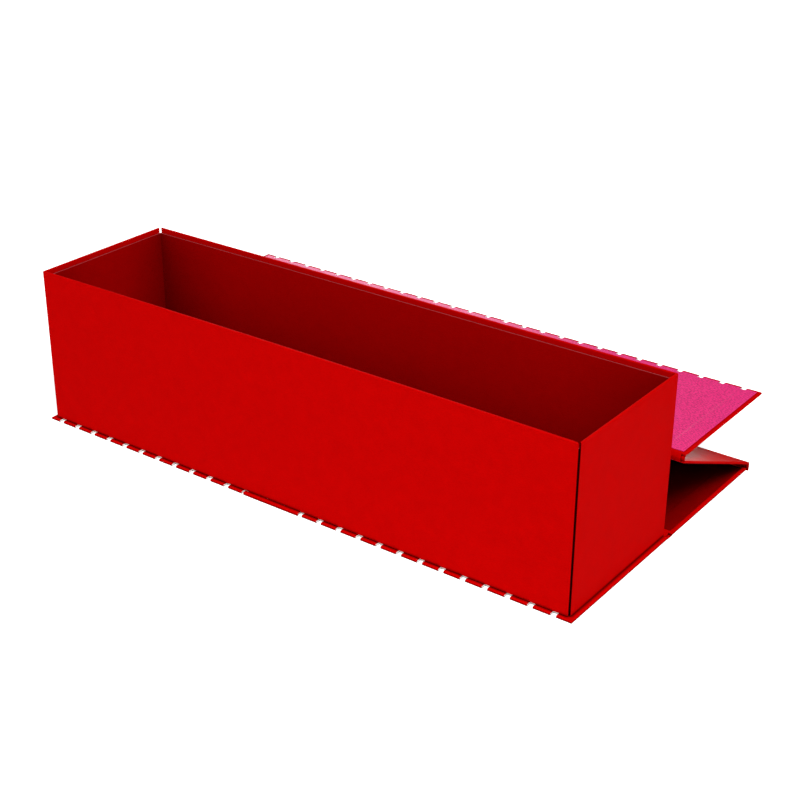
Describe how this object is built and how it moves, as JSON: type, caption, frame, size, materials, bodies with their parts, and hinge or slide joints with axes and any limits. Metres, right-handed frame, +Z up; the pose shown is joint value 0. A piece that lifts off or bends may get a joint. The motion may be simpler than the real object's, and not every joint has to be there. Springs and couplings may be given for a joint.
{
  "type": "folding presentation box",
  "caption": "Long open-topped tray of wrapped board on a hinged wrap-around cover; the cover is folded back behind the tray in a zigzag with its front flap lying level, lining up.",
  "frame": {"origin": "on the floor, on the base panel's underside, under the middle of the tray's footprint", "axes": "+X along the box, +Y from the tray's front wall towards the spine, +Z up out of the tray's open top"},
  "size_m": [0.3508, 0.1928, 0.0917],
  "materials": {
    "white_board": "matt, pressed white fibre",
    "red_paper": "satin, fine grain",
    "lining_paper": "matt, fine grain",
    "pink_paper": "satin, fine grain",
    "steel": "plain sheet",
    "magnet": "nickel plated"
  },
  "bodies": {
    "tray_and_base": {"base_board": "white_board", "base_wrap": "red_paper", "base_lining": "lining_paper", "base_hinge_paper": "red_paper", "base_hinge_liner": "red_paper", "base_edge_strip": "red_paper", "front_wall_board": "white_board", "back_wall_board": "white_board", "left_end_board": "white_board", "right_end_board": "white_board", "tray_wrap_front_left": "red_paper", "tray_wrap_back_right": "red_paper", "tray_lining_front_left": "lining_paper", "tray_lining_back_right": "lining_paper", "tray_floor_board": "white_board", "tray_floor_lining": "lining_paper", "steel_plate_left": "steel", "steel_plate_right": "steel"},
    "spine": {"spine_board": "white_board", "spine_wrap": "red_paper", "spine_lining": "lining_paper", "spine_hinge_paper": "red_paper", "spine_hinge_liner": "red_paper"},
    "lid_hinge": {"lid_hinge_paper": "red_paper", "lid_hinge_liner": "red_paper"},
    "lid": {"lid_board": "white_board", "lid_wrap": "red_paper", "lid_lining": "pink_paper"},
    "flap_hinge": {"flap_hinge_paper": "red_paper", "flap_hinge_liner": "red_paper"},
    "flap": {"flap_board": "white_board", "flap_wrap": "red_paper", "flap_lining": "pink_paper", "magnet_left": "magnet", "magnet_right": "magnet"}
  },
  "joints": [
    {"name": "spine_fold", "type": "hinge", "parent": "tray_and_base", "child": "spine", "pos_m": [0, 0.04825, 0], "axis": [1, 0, 0], "range_deg": [0, 90]},
    {"name": "lid_hinge_crease", "type": "hinge", "parent": "spine", "child": "lid_hinge", "pos_m": [0, 0.13841, 0], "axis": [-1, 0, 0], "range_deg": [0, 108]},
    {"name": "lid_fold", "type": "hinge", "parent": "lid_hinge", "child": "lid", "pos_m": [0, 0.13841, 0.005], "axis": [1, 0, 0], "range_deg": [-156, 14]},
    {"name": "flap_hinge_crease", "type": "hinge", "parent": "lid", "child": "flap_hinge", "pos_m": [0, 0.05452, 0.04165], "axis": [1, 0, 0], "range_deg": [0, 153]},
    {"name": "flap_fold", "type": "hinge", "parent": "flap_hinge", "child": "flap", "pos_m": [0, 0.05452, 0.04365], "axis": [1, 0, 0], "range_deg": [-22, 55]}
  ],
  "couplings": [
    {"joint": "lid_hinge_crease", "follows": "spine_fold", "ratio": 1.2},
    {"joint": "flap_hinge_crease", "follows": "spine_fold", "ratio": 1.7}
  ]
}
